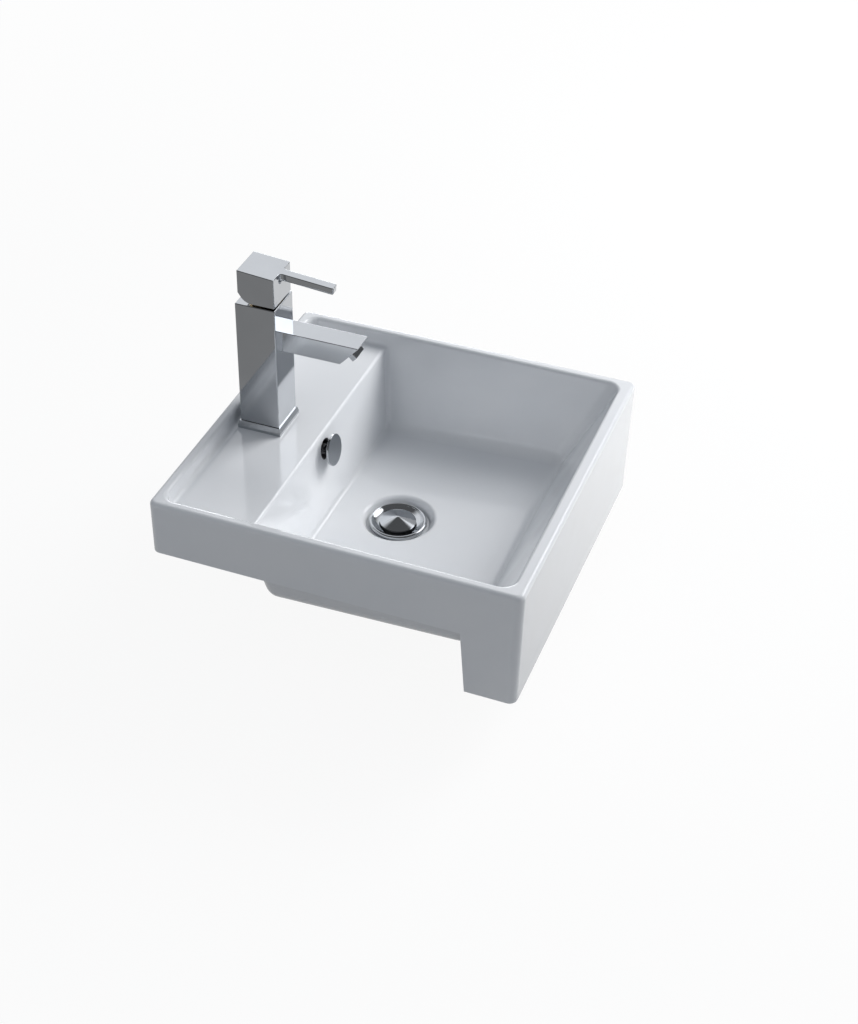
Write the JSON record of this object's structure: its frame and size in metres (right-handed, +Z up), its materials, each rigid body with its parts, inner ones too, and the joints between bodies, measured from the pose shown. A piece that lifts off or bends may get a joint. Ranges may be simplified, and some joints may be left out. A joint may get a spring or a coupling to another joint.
{
  "type": "semi recessed basin",
  "caption": "Square wash basin set half into a worktop, with a deep front apron, a sunk tap deck, a block-shaped mixer tap and a push-open waste.",
  "frame": {"origin": "middle of the rear foot, on the worktop it stands on", "axes": "+X along the width, +Y towards the wall behind the basin, +Z up; the apron and the lever point along -Y"},
  "size_m": [0.4, 0.4, 0.3624],
  "materials": {
    "glaze": "gloss white glaze, as on the visible ware",
    "chrome": "bright chrome plate",
    "brass": "machined, bare",
    "steel": "plain stainless",
    "black_plastic": "moulded",
    "white_plastic": "moulded",
    "grey_plastic": "moulded, plain",
    "rubber": "moulded",
    "disc_ceramic": "lapped"
  },
  "bodies": {
    "basin": {"basin_body": "glaze", "overflow_cover": "chrome", "overflow_clip": "black_plastic", "waste_flange": "chrome", "waste_click_body": "black_plastic", "waste_click_spring": "steel", "waste_upper_seal": "rubber", "waste_lower_seal": "rubber", "waste_slip_washer": "black_plastic", "waste_backnut": "brass", "tap_base_plate": "chrome", "tap_base_seal": "rubber", "tap_body": "chrome", "clamp_pad": "rubber", "clamp_plate": "steel", "fixing_studs": "steel", "fixing_nuts": "brass", "spout": "chrome", "aerator_frame": "chrome", "aerator_insert": "black_plastic", "cartridge_seals": "rubber", "cartridge_base": "black_plastic", "fixed_disc": "disc_ceramic", "cartridge_housing": "white_plastic", "cartridge_nut": "brass", "trim_collar": "chrome"},
    "spindle": {"rotor": "white_plastic", "lever_pin": "steel"},
    "lever": {"lever_stem": "brass", "lever_handle": "chrome", "grub_screw": "steel", "handle_cap": "grey_plastic"},
    "disc": {"moving_disc": "disc_ceramic", "disc_carrier": "white_plastic"},
    "plug": {"waste_plug_cap": "chrome", "waste_plug_seal": "rubber", "waste_plug_stem": "brass"}
  },
  "joints": [
    {"name": "handle_swivel", "type": "hinge", "parent": "basin", "child": "spindle", "pos_m": [0, -0.0376, 0.205], "axis": [0, 0, 1], "range_deg": [-45, 45]},
    {"name": "lever_lift", "type": "hinge", "parent": "spindle", "child": "lever", "pos_m": [0, -0.0376, 0.205], "axis": [-1, 0, 0], "range_deg": [0, 18]},
    {"name": "disc_slide", "type": "slide", "parent": "spindle", "child": "disc", "axis": [0, -1, 0], "range_m": [0, 0.0061]},
    {"name": "plug_travel", "type": "slide", "parent": "basin", "child": "plug", "axis": [0, 0, 1], "range_m": [0, 0.008], "deforming": ["waste_click_spring"]}
  ],
  "couplings": [
    {"joint": "disc_slide", "follows": "lever_lift", "m_per_rad": 0.01923}
  ]
}
